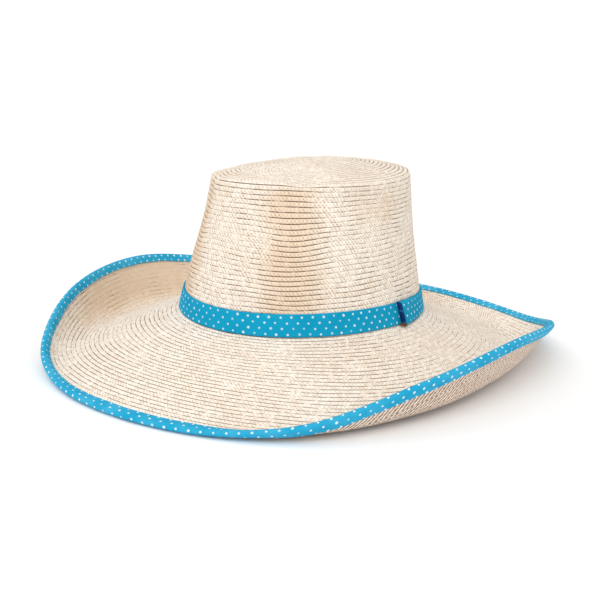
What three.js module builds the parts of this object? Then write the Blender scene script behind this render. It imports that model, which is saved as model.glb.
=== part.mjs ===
// Palm leaf hat: a crown and a wide rolled brim of sewn palm braid, with a dotted cotton band
// round the crown and a dotted cotton binding folded over the edge of the brim.
// Millimetres, +Z up, the front towards -Y and the wearer's left towards +X. The hat is drawn
// upright round its head oval, then leaned back until the front and the back of the brim
// touch the surface that it rests on.
import * as THREE from 'three';

// Straw
const STRAW_THICKNESS = 2;

// Head oval, measured outside the straw where the crown meets the brim
const HEAD_LENGTH = 204;
const HEAD_WIDTH = 169;
const HEAD_EDGE_DIP = 1.5; // the oval's edge lies this far down at front and back, and up at the sides

// Crown
const CROWN_HEIGHT = { front: 98, left: 99.5, back: 102, right: 95.5 }; // to the shoulder
const TIP_LENGTH = 185;
const TIP_WIDTH = 129;
const SHOULDER_RADIUS = 3.5;
const DOME_RISE = 9;
const BUTTON_DIAMETER = 24; // the flat start of the braid in the middle of the tip
const PINCH_ANGLE = 35; // each side of the front, degrees
const PINCH_SPREAD = 15; // degrees
const PINCH_DEPTH = 5;

// Brim, measured along the straw from the head oval to the outside of the binding
const BRIM_WIDTH = { front: 102.5, left: 117, back: 106, right: 117 };
const BRIM_START_SLOPE = { front: -20.5, left: -25, back: -18, right: -25 }; // degrees from level
const BRIM_ROLL_LENGTH = { front: 0.26, left: 0.27, back: 0.3, right: 0.27 }; // share of its width

// Cotton band and the lapped end that closes it on the wearer's left
const BAND_HEIGHT = 15.2;
const BAND_THICKNESS = 1.2;
const LAP_ANGLE = 89;
const LAP_LENGTH = 30;
const LAP_OVERHANG = 0.8; // how far the lap stands past the band's top edge
const LAP_EDGE_THICKNESS = 3.6;
const LAP_END_THICKNESS = 1;
const LAP_LEAN = 3; // how far the lap's free edge leans over its height

// Cotton binding
const BINDING_WIDTH = 7.3;
const BINDING_THICKNESS = 1;

// Clearances
const CLOTH_GAP = 0.3; // between cloth and what it covers
const SEAM_GAP = 0.3; // between the crown's wall and the brim that carries it

// Wall of the crown: height and how much of the taper to the tip is done there, as shares
const CROWN_SECTIONS = [
  { height: 0, lengthTaper: 0, widthTaper: 0 },
  { height: 0.25, lengthTaper: 0.22, widthTaper: 0.31 },
  { height: 0.5, lengthTaper: 0.46, widthTaper: 0.58 },
  { height: 0.75, lengthTaper: 0.72, widthTaper: 0.81 },
  { height: 1, lengthTaper: 1, widthTaper: 1 },
];

// Roll of the brim round the hat, from the front over the wearer's left: the slope that the
// roll would end in, in degrees, and the roll's middle as a share of the brim's width
const BRIM_SECTIONS = [
  { angle: 0, endSlope: 72, rollMiddle: 1.05 },
  { angle: 30, endSlope: 77, rollMiddle: 0.94 },
  { angle: 60, endSlope: 72, rollMiddle: 0.74 },
  { angle: 90, endSlope: 64, rollMiddle: 0.63 },
  { angle: 120, endSlope: 52, rollMiddle: 0.66 },
  { angle: 150, endSlope: 28, rollMiddle: 0.75 },
  { angle: 180, endSlope: 27, rollMiddle: 0.76 },
  { angle: 210, endSlope: 34, rollMiddle: 0.72 },
  { angle: 240, endSlope: 51, rollMiddle: 0.67 },
  { angle: 270, endSlope: 64, rollMiddle: 0.63 },
  { angle: 300, endSlope: 67, rollMiddle: 0.71 },
  { angle: 330, endSlope: 72, rollMiddle: 0.92 },
];

// Fineness of the mesh
const SEGMENTS = 64; // round the hat
const WALL_RINGS = 9; // up the crown's wall
const SHOULDER_RINGS = 2;
const DOME_RINGS = 3; // from the shoulder to the button
const BRIM_RINGS = 11; // as far as the binding's free edge
const BRIM_RING_CROWDING = 1.35; // above 1, the rings crowd towards the rim
const CURVE_STEPS = 96; // steps in which a brim section's slope is added up
const LAP_STEPS = 6;

const radians = THREE.MathUtils.degToRad;
const lerp = THREE.MathUtils.lerp;

const smooth = (share) => {
  const t = THREE.MathUtils.clamp(share, 0, 1);
  return t * t * (3 - 2 * t);
};

// A value that differs between front, left, back and right, at an angle from the front. Shares
// below 1 fade the slants across the hat and the difference between its ends and sides.
function around(values, angle, slantShare = 1, ovalShare = 1) {
  const ends = (values.front + values.back) / 2;
  const sides = (values.left + values.right) / 2;
  const lengthwise = ((values.front - values.back) / 2) * Math.cos(angle);
  const sideways = ((values.left - values.right) / 2) * Math.sin(angle);
  const oval = ((ends - sides) / 2) * Math.cos(2 * angle);
  return (ends + sides) / 2 + (lengthwise + sideways) * slantShare + oval * ovalShare;
}

// A smooth curve through evenly spaced values. They close on themselves, as round the brim,
// or the curve runs straight on past both ends, as up the crown.
function throughRows(values, position, closed) {
  const last = values.length - 1;
  const row = closed ? Math.floor(position) : Math.min(Math.floor(position), last - 1);
  const valueAt = (k) => {
    if (closed) return values[(k + values.length) % values.length];
    if (k < 0) return 2 * values[0] - values[1];
    return k > last ? 2 * values[last] - values[last - 1] : values[k];
  };
  const [before, start, end, after] = [-1, 0, 1, 2].map((step) => valueAt(row + step));
  const t = position - row;
  const bend = 2 * before - 5 * start + 4 * end - after;
  const twist = 3 * start - before - 3 * end + after;
  return start + 0.5 * t * (end - before + t * (bend + t * twist));
}

function brimSection(column, angle) {
  const values = BRIM_SECTIONS.map((row) => row[column]);
  return throughRows(values, (angle / (2 * Math.PI)) * values.length, true);
}

function crownTaper(column, height) {
  const values = CROWN_SECTIONS.map((row) => row[column]);
  const position = THREE.MathUtils.clamp(height, 0, 1) * (values.length - 1);
  return throughRows(values, position, false);
}

// A point of an oval, moved outwards along the oval's own normal
function ovalPoint(halfLength, halfWidth, angle, out, z) {
  const normal = new THREE.Vector2(Math.sin(angle) / halfWidth, -Math.cos(angle) / halfLength);
  normal.normalize();
  return new THREE.Vector3(
    halfWidth * Math.sin(angle) + normal.x * out,
    -halfLength * Math.cos(angle) + normal.y * out,
    z,
  );
}

const headEdgeHeight = (angle) => -HEAD_EDGE_DIP * Math.cos(2 * angle);
const headPoint = (angle, out, z) => ovalPoint(HEAD_LENGTH / 2, HEAD_WIDTH / 2, angle, out, z);

// How much of the pinch's depth there is at an angle, both sides of the front
function pinchShare(angle) {
  const fromPinch = Math.acos(Math.cos(angle)) - radians(PINCH_ANGLE);
  return Math.exp(-((fromPinch / radians(PINCH_SPREAD)) ** 2));
}

// The crown's wall at a height above the head oval's edge, at a distance out from the straw's
// outside. The pinches deepen towards the shoulder.
function wallPoint(angle, z, out) {
  const bottom = headEdgeHeight(angle);
  const top = around(CROWN_HEIGHT, angle);
  const height = (z - bottom) / (top - bottom);
  const halfLength = lerp(HEAD_LENGTH, TIP_LENGTH, crownTaper('lengthTaper', height)) / 2;
  const halfWidth = lerp(HEAD_WIDTH, TIP_WIDTH, crownTaper('widthTaper', height)) / 2;
  const pinch = PINCH_DEPTH * smooth((height - 0.3) / 0.7) * pinchShare(angle);
  return ovalPoint(halfLength, halfWidth, angle, out - pinch, z);
}

// The tip inside its shoulder: share is 1 at the shoulder's inner edge and 0 in the middle,
// where the button is one flat face
function tipPoint(angle, share, depth) {
  const button = BUTTON_DIAMETER / TIP_WIDTH;
  const dome = DOME_RISE * (1 - Math.max(share, button) ** 2);
  const rim = around(CROWN_HEIGHT, angle, share, share > button ? share ** 2 : 0);
  const z = rim + SHOULDER_RADIUS + dome - depth;
  if (share === 0) return new THREE.Vector3(0, 0, z);
  const pinch = PINCH_DEPTH * pinchShare(angle) * share ** 3;
  const halfLength = (TIP_LENGTH / 2 - SHOULDER_RADIUS) * share;
  const halfWidth = (TIP_WIDTH / 2 - SHOULDER_RADIUS) * share;
  return ovalPoint(halfLength, halfWidth, angle, -pinch, z);
}

function shoulderPoint(angle, turn, depth) {
  const radius = SHOULDER_RADIUS - depth;
  const z = around(CROWN_HEIGHT, angle) + radius * Math.sin(turn);
  const inset = SHOULDER_RADIUS - radius * Math.cos(turn);
  const pinch = PINCH_DEPTH * pinchShare(angle);
  return ovalPoint(TIP_LENGTH / 2, TIP_WIDTH / 2, angle, -inset - pinch, z);
}

// The middle of the brim's straw from the head oval outwards, as distances out and up
function brimCurve(angle) {
  const width = around(BRIM_WIDTH, angle);
  const startSlope = around(BRIM_START_SLOPE, angle);
  const rollLength = around(BRIM_ROLL_LENGTH, angle);
  const rollMiddle = brimSection('rollMiddle', angle);
  const endSlope = brimSection('endSlope', angle);
  const points = [];
  let out = 0;
  let up = headEdgeHeight(angle);
  for (let step = 0; step <= CURVE_STEPS; step += 1) {
    const share = step / CURVE_STEPS;
    const rolled = smooth((share - rollMiddle) / rollLength + 0.5);
    const slope = radians(lerp(startSlope, endSlope, rolled));
    points.push({ out, up, slope });
    out += (Math.cos(slope) * width) / CURVE_STEPS;
    up += (Math.sin(slope) * width) / CURVE_STEPS;
  }
  return { width, points };
}

// A point of the brim at a distance along the straw and a height off its middle
function brimPoint(angle, curve, distance, off) {
  const position = THREE.MathUtils.clamp(distance / curve.width, 0, 1) * CURVE_STEPS;
  const step = Math.min(Math.floor(position), CURVE_STEPS - 1);
  const near = curve.points[step];
  const far = curve.points[step + 1];
  const t = position - step;
  const slope = lerp(near.slope, far.slope, t);
  const out = lerp(near.out, far.out, t) - Math.sin(slope) * off;
  const up = lerp(near.up, far.up, t) + Math.cos(slope) * off;
  return headPoint(angle, out, up);
}

// A closed solid swept round the hat. Each section is a list of points that starts and ends
// on the middle line, or a loop that closes on itself. Each four-cornered face is split from
// its corner nearer the middle, so that faces that lie side by side are split the same way.
function sweptRound(sectionAt, closedLoop) {
  const sections = [];
  for (let i = 0; i < SEGMENTS; i += 1) {
    sections.push(sectionAt((i / SEGMENTS) * 2 * Math.PI));
  }
  const count = sections[0].length;
  const first = closedLoop ? 0 : 1;
  const ringPoints = closedLoop ? count : count - 2;
  const positions = [];
  sections.forEach((section) => {
    section.slice(first, first + ringPoints).forEach((point) => positions.push(...point));
  });
  const index = [];
  const at = (segment, k) => (segment % SEGMENTS) * ringPoints + (k % ringPoints);
  const fromAxis = (vertex) => Math.hypot(positions[3 * vertex], positions[3 * vertex + 1]);
  for (let i = 0; i < SEGMENTS; i += 1) {
    for (let k = 0; k < (closedLoop ? ringPoints : ringPoints - 1); k += 1) {
      const [here, next] = [at(i, k), at(i, k + 1)];
      const [hereOn, nextOn] = [at(i + 1, k), at(i + 1, k + 1)];
      if (fromAxis(next) > fromAxis(here)) {
        index.push(here, next, nextOn, here, nextOn, hereOn);
      } else {
        index.push(here, next, hereOn, next, nextOn, hereOn);
      }
    }
  }
  if (!closedLoop) {
    const start = positions.length / 3;
    positions.push(...sections[0][0], ...sections[0][count - 1]);
    for (let i = 0; i < SEGMENTS; i += 1) {
      index.push(start, at(i, 0), at(i + 1, 0));
      index.push(start + 1, at(i + 1, ringPoints - 1), at(i, ringPoints - 1));
    }
  }
  return solid(positions, index);
}

function solid(positions, index) {
  const geometry = new THREE.BufferGeometry();
  geometry.setAttribute('position', new THREE.Float32BufferAttribute(positions, 3));
  geometry.setIndex(index);
  geometry.computeVertexNormals();
  return geometry;
}

const evenShares = (count) => Array.from({ length: count + 1 }, (_, i) => i / count);

// Crown: down the outside from the middle of the tip, and back up the inside
function crownSection(angle) {
  const button = BUTTON_DIAMETER / TIP_WIDTH;
  const domeShares = [...evenShares(DOME_RINGS).map((share) => lerp(1, button, share)), 0];
  const shoulderTurns = evenShares(SHOULDER_RINGS).slice(0, -1).map((share) => (share * Math.PI) / 2);
  const seam = headEdgeHeight(angle) + STRAW_THICKNESS / 2 + SEAM_GAP;
  const top = around(CROWN_HEIGHT, angle);
  const wallHeights = evenShares(WALL_RINGS).slice(0, -1).map((share) => lerp(seam, top, share));
  const upwards = (depth) => [
    ...wallHeights.map((z) => wallPoint(angle, z, -depth)),
    ...shoulderTurns.map((turn) => shoulderPoint(angle, turn, depth)),
    ...domeShares.map((share) => tipPoint(angle, share, depth)),
  ];
  return [...upwards(0).reverse(), ...upwards(STRAW_THICKNESS)];
}

// Distances along the brim's straw where the binding's free edge, its middle and the straw's
// own edge lie, shared by brim and binding so that their faces run side by side
function edgeDistances(curve) {
  const freeEdge = curve.width - BINDING_WIDTH;
  const strawEdge = curve.width - BINDING_THICKNESS - CLOTH_GAP;
  return { freeEdge, halfway: (freeEdge + strawEdge) / 2, strawEdge };
}

// Brim: out along the top from under the crown's wall, and back along the underside
function brimLoop(angle) {
  const curve = brimCurve(angle);
  const { freeEdge, halfway, strawEdge } = edgeDistances(curve);
  const half = STRAW_THICKNESS / 2;
  const innerEdge = (off) => headPoint(angle, -STRAW_THICKNESS, headEdgeHeight(angle) + off);
  const open = evenShares(BRIM_RINGS).map(
    (share) => freeEdge * (1 - (1 - share) ** BRIM_RING_CROWDING),
  );
  const distances = [...open, halfway, strawEdge];
  const top = distances.map((distance) => brimPoint(angle, curve, distance, half));
  const underside = distances.map((distance) => brimPoint(angle, curve, distance, -half));
  return [innerEdge(half), ...top, ...underside.reverse(), innerEdge(-half)];
}

// Binding: a strip folded over the straw's edge, its free edges on the two faces of the brim
function bindingLoop(angle) {
  const curve = brimCurve(angle);
  const inner = STRAW_THICKNESS / 2 + CLOTH_GAP;
  const outer = inner + BINDING_THICKNESS;
  const { freeEdge, halfway, strawEdge } = edgeDistances(curve);
  const fold = curve.width - BINDING_THICKNESS;
  const at = (distance, off) => brimPoint(angle, curve, distance, off);
  return [
    at(freeEdge, inner),
    at(freeEdge, outer),
    at(halfway, outer),
    at(strawEdge, outer),
    at(curve.width, outer / 2),
    at(curve.width, -outer / 2),
    at(strawEdge, -outer),
    at(halfway, -outer),
    at(freeEdge, -outer),
    at(freeEdge, -inner),
    at(halfway, -inner),
    at(fold, -inner),
    at(fold, inner),
    at(halfway, inner),
  ];
}

// Band: stands on the brim beside the wall and follows the wall's taper
function bandFoot(angle) {
  return headEdgeHeight(angle) + STRAW_THICKNESS / 2 + CLOTH_GAP;
}

function bandLoop(angle) {
  const foot = bandFoot(angle);
  const heights = evenShares(2).map((share) => foot + BAND_HEIGHT * share);
  const face = (out) => heights.map((z) => wallPoint(angle, z, out));
  return [...face(CLOTH_GAP), ...face(CLOTH_GAP + BAND_THICKNESS).reverse()];
}

// Lap: the band's end folded over and lying on the band, thick at its free edge
function lapSolid() {
  const arcPerRadian = HEAD_LENGTH / 2;
  const seat = 2 * CLOTH_GAP + BAND_THICKNESS;
  const positions = [];
  for (let step = 0; step <= LAP_STEPS; step += 1) {
    const share = step / LAP_STEPS;
    const thickness = lerp(LAP_EDGE_THICKNESS, LAP_END_THICKNESS, smooth(share));
    const alongFoot = LAP_LENGTH * share;
    const alongTop = alongFoot - LAP_LEAN * (1 - share);
    const footAngle = radians(LAP_ANGLE) + alongFoot / arcPerRadian;
    const topAngle = radians(LAP_ANGLE) + alongTop / arcPerRadian;
    const topHeight = bandFoot(topAngle) + BAND_HEIGHT + LAP_OVERHANG;
    positions.push(
      ...wallPoint(footAngle, bandFoot(footAngle), seat),
      ...wallPoint(footAngle, bandFoot(footAngle), seat + thickness),
      ...wallPoint(topAngle, topHeight, seat + thickness),
      ...wallPoint(topAngle, topHeight, seat),
    );
  }
  const index = [];
  for (let step = 0; step < LAP_STEPS; step += 1) {
    for (let k = 0; k < 4; k += 1) {
      const here = step * 4 + k;
      const next = step * 4 + ((k + 1) % 4);
      index.push(here, next + 4, next);
      index.push(here, here + 4, next + 4);
    }
  }
  const end = LAP_STEPS * 4;
  index.push(0, 1, 2, 0, 2, 3, end, end + 2, end + 1, end, end + 3, end + 2);
  return solid(positions, index);
}

// Materials
const straw = new THREE.MeshStandardMaterial({ color: 0xf3e4cb, roughness: 0.8, metalness: 0 });
const cotton = new THREE.MeshStandardMaterial({ color: 0x1299cf, roughness: 0.85, metalness: 0 });

const hat = new THREE.Group();

function addPiece(name, geometry, material) {
  const mesh = new THREE.Mesh(geometry, material);
  mesh.name = name;
  hat.add(mesh);
}

addPiece('crown', sweptRound(crownSection, false), straw);
addPiece('brim', sweptRound(brimLoop, true), straw);
addPiece('hatband', sweptRound(bandLoop, true), cotton);
addPiece('band_lap', lapSolid(), cotton);
addPiece('brim_binding', sweptRound(bindingLoop, true), cotton);

// Lean the hat back until the brim's lowest points at the front and the back are level
function lowestPoint(angle) {
  const points = [...brimLoop(angle), ...bindingLoop(angle)];
  return points.reduce((low, point) => (point.z < low.z ? point : low));
}

const frontRest = lowestPoint(0);
const backRest = lowestPoint(Math.PI);
hat.rotation.x = Math.atan2(frontRest.z - backRest.z, backRest.y - frontRest.y);

// Stand it on the surface, with the origin under the middle of its box
const group = new THREE.Group();
group.add(hat);
const box = new THREE.Box3().setFromObject(group, true);
const middle = box.getCenter(new THREE.Vector3());
hat.position.set(-middle.x, -middle.y, -box.min.z);

export default group;
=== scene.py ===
# %% [markdown]
# # Palm leaf hat
# The real hat is one long strip of plaited palm leaf. It is wound from the middle of the tip
# outwards and sewn row over row, first into the crown and then into the brim. A strip of dotted
# cotton goes round the foot of the crown, and another is folded over the edge of the brim.
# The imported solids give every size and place. This scene dresses them: each piece is built again
# with the rows, folds and stitches that smooth solids leave out, in the same frame, in metres.

import math
from functools import partial

import bmesh
import bpy
import numpy as np
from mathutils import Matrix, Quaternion, Vector


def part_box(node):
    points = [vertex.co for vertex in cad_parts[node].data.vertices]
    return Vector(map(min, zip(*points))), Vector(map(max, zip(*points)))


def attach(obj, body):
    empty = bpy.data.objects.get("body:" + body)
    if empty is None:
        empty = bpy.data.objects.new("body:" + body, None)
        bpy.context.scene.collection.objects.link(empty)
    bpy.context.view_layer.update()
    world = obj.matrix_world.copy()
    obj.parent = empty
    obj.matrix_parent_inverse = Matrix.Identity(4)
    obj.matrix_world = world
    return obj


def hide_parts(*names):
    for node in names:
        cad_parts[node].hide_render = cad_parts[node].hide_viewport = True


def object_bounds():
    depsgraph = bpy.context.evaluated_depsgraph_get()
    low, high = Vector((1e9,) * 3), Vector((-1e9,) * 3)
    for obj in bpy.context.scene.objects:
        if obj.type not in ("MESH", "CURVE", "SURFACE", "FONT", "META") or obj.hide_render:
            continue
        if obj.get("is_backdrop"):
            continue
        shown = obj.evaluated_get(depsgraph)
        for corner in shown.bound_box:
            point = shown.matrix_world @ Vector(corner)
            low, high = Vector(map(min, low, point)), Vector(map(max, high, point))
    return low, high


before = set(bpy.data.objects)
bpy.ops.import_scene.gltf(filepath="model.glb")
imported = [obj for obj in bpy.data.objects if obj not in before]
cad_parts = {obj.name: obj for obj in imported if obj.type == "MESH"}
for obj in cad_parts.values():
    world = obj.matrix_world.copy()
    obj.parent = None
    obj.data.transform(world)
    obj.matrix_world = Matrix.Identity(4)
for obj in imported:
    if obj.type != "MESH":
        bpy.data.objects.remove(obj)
cad_low, cad_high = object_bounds()
print("solids:", sorted(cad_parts), "box", tuple(cad_low), tuple(cad_high))

# %% [markdown]
# ## Sizes
# The script can't read the part's source, so it repeats the named sizes that it needs, in
# millimetres and degrees. Angles run round the hat from the front, over the wearer's left.

# %% Sizes of the straw
STRAW_THICKNESS = 2.0
HEAD_LENGTH = 204.0
HEAD_WIDTH = 169.0
HEAD_EDGE_DIP = 1.5
CROWN_HEIGHT = {"front": 98.0, "left": 99.5, "back": 102.0, "right": 95.5}
TIP_LENGTH = 185.0
TIP_WIDTH = 129.0
SHOULDER_RADIUS = 3.5
DOME_RISE = 9.0
BUTTON_DIAMETER = 24.0
PINCH_ANGLE = 35.0
PINCH_SPREAD = 15.0
PINCH_DEPTH = 5.0
BRIM_WIDTH = {"front": 102.5, "left": 117.0, "back": 106.0, "right": 117.0}
BRIM_START_SLOPE = {"front": -20.5, "left": -25.0, "back": -18.0, "right": -25.0}
BRIM_ROLL_LENGTH = {"front": 0.26, "left": 0.27, "back": 0.3, "right": 0.27}
CURVE_STEPS = 96
SEAM_GAP = 0.3

# How much of the wall's taper is done at even heights from the head oval to the shoulder
WALL_TAPER = {
    "length": (0.0, 0.22, 0.46, 0.72, 1.0),
    "width": (0.0, 0.31, 0.58, 0.81, 1.0),
}

# The brim's roll every 30 degrees from the front over the wearer's left
BRIM_ROLL = {
    "end slope": (72, 77, 72, 64, 52, 28, 27, 34, 51, 64, 67, 72),
    "roll middle": (1.05, 0.94, 0.74, 0.63, 0.66, 0.75, 0.76, 0.72, 0.67, 0.63, 0.71, 0.92),
}

# %% Sizes of the cotton
BAND_HEIGHT = 15.2
BAND_THICKNESS = 1.2
LAP_ANGLE = 89.0
LAP_LENGTH = 30.0
LAP_OVERHANG = 0.8
LAP_EDGE_THICKNESS = 3.6
LAP_END_THICKNESS = 1.0
LAP_LEAN = 3.0
BINDING_THICKNESS = 1.0
CLOTH_GAP = 0.3

# %% [markdown]
# ## The shape of the hat
# The hat is drawn upright round its head oval, and the whole of it is then leaned back a little,
# because that is how the brim stands on a table. The functions below take numpy arrays, so one
# call gives a whole grid of points.

# %% Values round the hat and up the wall
LEAN_BACK = 2.05
HEAD_OVAL_PLACE = np.array([0.08, -1.45, 32.34])


def lerp(start, end, share):
    return start + (end - start) * share


def smooth(share):
    t = np.clip(share, 0.0, 1.0)
    return t * t * (3 - 2 * t)


def turned_from(angle, heading):
    """How far an angle in radians lies from a heading in degrees, whichever way is shorter."""
    return np.arccos(np.clip(np.cos(angle - math.radians(heading)), -1, 1))


def around(values, angle, slant_share=1.0, oval_share=1.0):
    """A value that differs between front, left, back and right, at an angle."""
    ends = (values["front"] + values["back"]) / 2
    sides = (values["left"] + values["right"]) / 2
    lengthwise = (values["front"] - values["back"]) / 2 * np.cos(angle)
    sideways = (values["left"] - values["right"]) / 2 * np.sin(angle)
    oval = (ends - sides) / 2 * np.cos(2 * angle)
    return (ends + sides) / 2 + (lengthwise + sideways) * slant_share + oval * oval_share


def through_values(values, position, closed):
    """A smooth curve through evenly spaced values, closed or running straight on past its ends."""
    values = np.asarray(values, float)
    last = len(values) - 1
    row = np.floor(position).astype(int)
    if closed:
        before, start, end, after = (values[(row + k) % len(values)] for k in (-1, 0, 1, 2))
    else:
        row = np.minimum(row, last - 1)
        longer = np.concatenate(
            [[2 * values[0] - values[1]], values, [2 * values[last] - values[last - 1]]]
        )
        before, start, end, after = (longer[row + 1 + k] for k in (-1, 0, 1, 2))
    t = position - row
    bend = 2 * before - 5 * start + 4 * end - after
    twist = 3 * start - before - 3 * end + after
    return start + 0.5 * t * (end - before + t * (bend + t * twist))


def to_row(points):
    """Points of the upright hat, in millimetres, where they are in the row frame, in metres."""
    lean = math.radians(-LEAN_BACK)
    cos, sin = math.cos(lean), math.sin(lean)
    x, y, z = points[..., 0], points[..., 1], points[..., 2]
    turned = np.stack([x, y * cos - z * sin, y * sin + z * cos], -1)
    return (turned + HEAD_OVAL_PLACE) / 1000


# %% The head oval, the pinches and the crown's wall
def oval_point(half_length, half_width, angle, out, z):
    """A point of an oval, moved outwards along the oval's own normal."""
    normal_x = np.sin(angle) / half_width
    normal_y = -np.cos(angle) / half_length
    size = np.hypot(normal_x, normal_y)
    x = half_width * np.sin(angle) + normal_x / size * out
    y = -half_length * np.cos(angle) + normal_y / size * out
    return np.stack(np.broadcast_arrays(x, y, z), -1)


def head_edge_height(angle):
    return -HEAD_EDGE_DIP * np.cos(2 * angle)


def head_point(angle, out, z):
    return oval_point(HEAD_LENGTH / 2, HEAD_WIDTH / 2, angle, out, z)


def pinch_share(angle):
    from_pinch = turned_from(angle, 0.0) - math.radians(PINCH_ANGLE)
    return np.exp(-((from_pinch / math.radians(PINCH_SPREAD)) ** 2))


# Shallow hollows that wear leaves in the wall: angle, height as a share of the wall's, their
# spreads and the depth in millimetres
HOLLOWS = (
    (72.0, 0.9, 15.0, 0.09, 1.6),
    (-62.0, 0.72, 20.0, 0.2, 1.0),
    (150.0, 0.6, 25.0, 0.2, 1.2),
    (205.0, 0.85, 16.0, 0.12, 1.2),
)


def hollow_depth(angle, height):
    depth = 0.0
    for heading, level, angle_spread, level_spread, deepest in HOLLOWS:
        aside = turned_from(angle, heading) / math.radians(angle_spread)
        away = aside**2 + ((height - level) / level_spread) ** 2
        depth += deepest * np.exp(-away)
    return depth


def wall_point(angle, z, out):
    bottom = head_edge_height(angle)
    height = (z - bottom) / (around(CROWN_HEIGHT, angle) - bottom)
    position = np.clip(height, 0, 1) * (len(WALL_TAPER["length"]) - 1)
    taper = {side: through_values(values, position, False) for side, values in WALL_TAPER.items()}
    half_length = lerp(HEAD_LENGTH, TIP_LENGTH, taper["length"]) / 2
    half_width = lerp(HEAD_WIDTH, TIP_WIDTH, taper["width"]) / 2
    pinch = PINCH_DEPTH * smooth((height - 0.3) / 0.7) * pinch_share(angle)
    pinch = pinch + hollow_depth(angle, height) * smooth((1 - height) / 0.06)
    return oval_point(half_length, half_width, angle, out - pinch, z)


# %% The crown's surface, counted in rows of braid from the middle of the tip
ROW_PITCH = 3.4  # the width of one row, in millimetres
TIP_ROWS = 19
SHOULDER_ROWS = 1.5
WALL_ROWS = 29
CROWN_ROWS = TIP_ROWS + SHOULDER_ROWS + WALL_ROWS
SPIRAL_START_LENGTH = 36.0  # the braid's first stretch is laid straight, which makes the tip oval
ROW_SAG = 3.0  # how far the rows hang lower in the pinches than beside them
ROW_RISE = 3.5  # how far they run higher on the wearer's left, half way down the wall
RISE_START = 40.0  # the heading where the rise begins, and the degrees over which it grows
RISE_GROWTH = 65.0
RISE_LENGTH = 260.0  # the degrees after which it is gone, and the last of them, where it fades
RISE_FADE = 80.0
SLOW_STRAY = 0.6  # how far rows stray from an even course, in long waves and in short ones
QUICK_STRAY = 0.3

VALLEY_ANGLE = 41.0  # where the left pinch runs on over the shoulder into the tip
VALLEY_SPREAD = 9.0
VALLEY_DEPTH = 2.2


def valley_depth(heading, reach):
    """How far the tip sinks where the pinch runs over it."""
    aside = (heading - math.radians(VALLEY_ANGLE)) / math.radians(VALLEY_SPREAD)
    return VALLEY_DEPTH * np.exp(-(aside**2)) * smooth((reach - 0.3) / 0.6)


def tip_point(angle, share):
    """The tip: straight first stretch at share 0, the shoulder's inner edge at share 1."""
    half_length = TIP_LENGTH / 2 - SHOULDER_RADIUS
    half_width = TIP_WIDTH / 2 - SHOULDER_RADIUS
    along = np.cos(angle)
    straight = SPIRAL_START_LENGTH / 2 * (1.5 * along - 0.5 * along**3)
    x = half_width * np.sin(angle) * share
    y = -lerp(straight, half_length * along, share)
    reach = np.hypot(x / half_width, y / half_length)
    heading = np.arctan2(x / half_width, -y / half_length)
    button = BUTTON_DIAMETER / TIP_WIDTH
    dome = DOME_RISE * (1 - np.maximum(reach, button) ** 2)
    rim = around(CROWN_HEIGHT, heading, reach, np.where(reach > button, reach**2, 0))
    pinch = PINCH_DEPTH * pinch_share(heading) * reach**3
    inwards = np.stack([np.sin(heading) / half_width, -np.cos(heading) / half_length], -1)
    inwards /= np.linalg.norm(inwards, axis=-1, keepdims=True)
    z = rim + SHOULDER_RADIUS + dome - valley_depth(heading, reach)
    return np.stack([x - inwards[..., 0] * pinch, y - inwards[..., 1] * pinch, z], -1)


def shoulder_point(angle, turn):
    heading = np.arctan2(np.sin(angle), np.cos(angle))
    z = around(CROWN_HEIGHT, angle)
    z = z + (SHOULDER_RADIUS - valley_depth(heading, 1.0)) * np.sin(turn)
    inset = SHOULDER_RADIUS * (1 - np.cos(turn))
    pinch = PINCH_DEPTH * pinch_share(angle)
    return oval_point(TIP_LENGTH / 2, TIP_WIDTH / 2, angle, -inset - pinch, z)


def wander(angle, share):
    """The millimetres by which a row strays from an even course, none at the piece's edges."""
    slow = SLOW_STRAY * np.sin(5 * angle + 7 * share)
    quick = QUICK_STRAY * np.sin(11 * angle - 13 * share + 2)
    return (slow + quick) * np.sin(math.pi * share)


def crown_surface(angles, rows):
    angle = np.broadcast_to(angles[:, None], rows.shape)
    past_tip = rows - TIP_ROWS
    past_shoulder = past_tip - SHOULDER_ROWS
    top = around(CROWN_HEIGHT, angle)
    seam = head_edge_height(angle) + STRAW_THICKNESS / 2 + SEAM_GAP
    down = np.clip(past_shoulder / WALL_ROWS, 0, 1)
    turned = np.degrees(angle - math.radians(RISE_START)) % 360
    rise = ROW_RISE * smooth(turned / RISE_GROWTH) * smooth((RISE_LENGTH - turned) / RISE_FADE)
    sag = (ROW_SAG * pinch_share(angle) - rise) * np.sin(math.pi * down) ** 2
    wall = wall_point(angle, lerp(top, seam, down) - sag + wander(angle, down), 0.0)
    turn = (1 - np.clip(past_tip / SHOULDER_ROWS, 0, 1)) * math.pi / 2
    tip = tip_point(angle, np.clip(rows / TIP_ROWS, 0, 1))
    on_wall = (past_shoulder > 0)[..., None]
    on_tip = (past_tip <= 0)[..., None]
    return np.where(on_wall, wall, np.where(on_tip, tip, shoulder_point(angle, turn)))


print("crown:", CROWN_ROWS, "rows of braid")

# %% The brim's surface, counted in rows from the head oval
BRIM_ROWS = 31


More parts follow.
